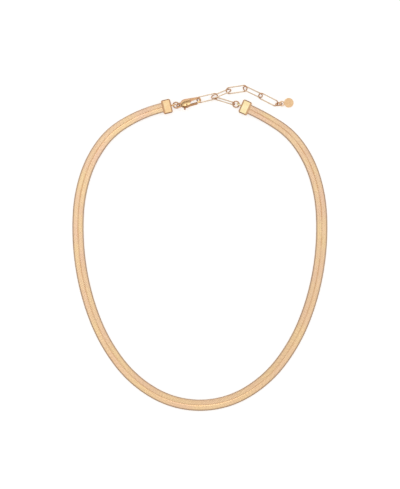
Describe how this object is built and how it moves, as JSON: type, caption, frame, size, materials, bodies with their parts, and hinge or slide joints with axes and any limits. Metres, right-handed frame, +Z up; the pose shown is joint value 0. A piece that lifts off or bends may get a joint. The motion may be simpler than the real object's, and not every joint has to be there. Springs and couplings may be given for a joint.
{
  "type": "herringbone chain necklace",
  "caption": "Flat woven herringbone chain necklace in pale gold, lying closed, with capped ends, a sprung lobster clasp and a paperclip link extender with a plain round tag.",
  "frame": {"origin": "middle of the lying necklace's box, on the surface that it lies on", "axes": "+Z up from the surface, +Y from the front of the necklace towards its clasp, +X towards the side that the extender trails to"},
  "size_m": [0.1172, 0.1499, 0.0043],
  "materials": {
    "band_gold": "pale gold plate, fine woven flat wire, soft shine",
    "cap_gold": "pale gold plate, polished smooth",
    "wire_gold": "pale gold plate, drawn round wire, polished"
  },
  "bodies": {
    "root": {"herringbone_band": "band_gold", "end_cap_left": "cap_gold", "end_cap_right": "cap_gold", "jump_ring_left": "wire_gold", "jump_ring_right": "wire_gold", "clasp_body": "cap_gold", "link_1": "wire_gold", "link_2": "wire_gold", "link_3": "wire_gold", "link_4": "wire_gold", "link_5": "wire_gold", "link_6": "wire_gold", "tag_ring": "wire_gold", "tag": "cap_gold"},
    "clasp_lever": {"clasp_lever": "cap_gold"}
  },
  "joints": [
    {"name": "lever_hinge", "type": "hinge", "parent": "root", "child": "clasp_lever", "pos_m": [-0.00584, 0.06496, 0.00295], "axis": [-0.1645, 0.5933, 0.788], "range_deg": [0, 20], "stiffness_Nm_per_rad": 0.004}
  ]
}
